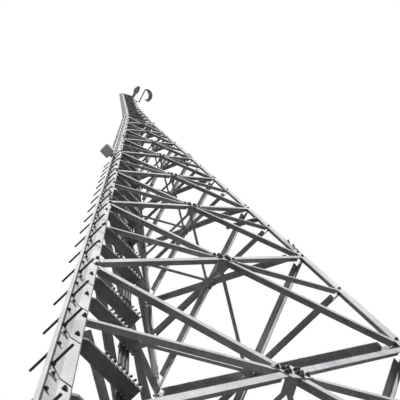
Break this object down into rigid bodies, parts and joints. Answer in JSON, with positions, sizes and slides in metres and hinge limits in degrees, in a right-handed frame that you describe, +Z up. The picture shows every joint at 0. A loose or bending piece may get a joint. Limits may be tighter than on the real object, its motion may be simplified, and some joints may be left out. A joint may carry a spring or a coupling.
{
  "type": "radio mast",
  "caption": "Self-supporting three-legged lattice radio mast with crossed bracing, climbing bolts, a feeder run and small aerials on its slender head.",
  "frame": {"origin": "middle of the underside of the near leg's foot plate", "axes": "+Z up along the mast; +X along the front face from the near leg's foot to the right leg's foot; +Y from the front face towards the back leg"},
  "size_m": [2.6567, 2.3436, 38.108],
  "materials": {
    "cable_jacket": "matte",
    "galvanised_bracing": "satin",
    "galvanised_fittings": "satin",
    "galvanised_legs": "satin",
    "grey_housing": "matte"
  },
  "bodies": {
    "root": {"bracing_front_lower": "galvanised_bracing", "bracing_front_middle": "galvanised_bracing", "bracing_front_upper": "galvanised_bracing", "bracing_left_lower": "galvanised_bracing", "bracing_left_middle": "galvanised_bracing", "bracing_left_upper": "galvanised_bracing", "bracing_right_lower": "galvanised_bracing", "bracing_right_middle": "galvanised_bracing", "bracing_right_upper": "galvanised_bracing", "climbing_rail": "galvanised_fittings", "feeder_cables": "cable_jacket", "feeder_hangers": "galvanised_fittings", "foot_back": "galvanised_legs", "foot_near": "galvanised_legs", "foot_right": "galvanised_legs", "head_bracing_front": "galvanised_bracing", "head_bracing_left": "galvanised_bracing", "head_bracing_right": "galvanised_bracing", "head_cables": "cable_jacket", "head_cap": "galvanised_fittings", "head_channel": "grey_housing", "head_legs": "galvanised_legs", "horn_aerial": "grey_housing", "leg_back_lower": "galvanised_legs", "leg_back_middle": "galvanised_legs", "leg_back_upper": "galvanised_legs", "leg_near_lower": "galvanised_legs", "leg_near_middle": "galvanised_legs", "leg_near_upper": "galvanised_legs", "leg_right_lower": "galvanised_legs", "leg_right_middle": "galvanised_legs", "leg_right_upper": "galvanised_legs", "leg_splices": "galvanised_legs", "loop_aerial": "grey_housing", "plan_frames_lower": "galvanised_bracing", "plan_frames_upper": "galvanised_bracing", "right_leg_arms": "galvanised_fittings", "side_box": "grey_housing", "side_channel": "grey_housing", "step_bolts": "galvanised_fittings"}
  },
  "joints": []
}
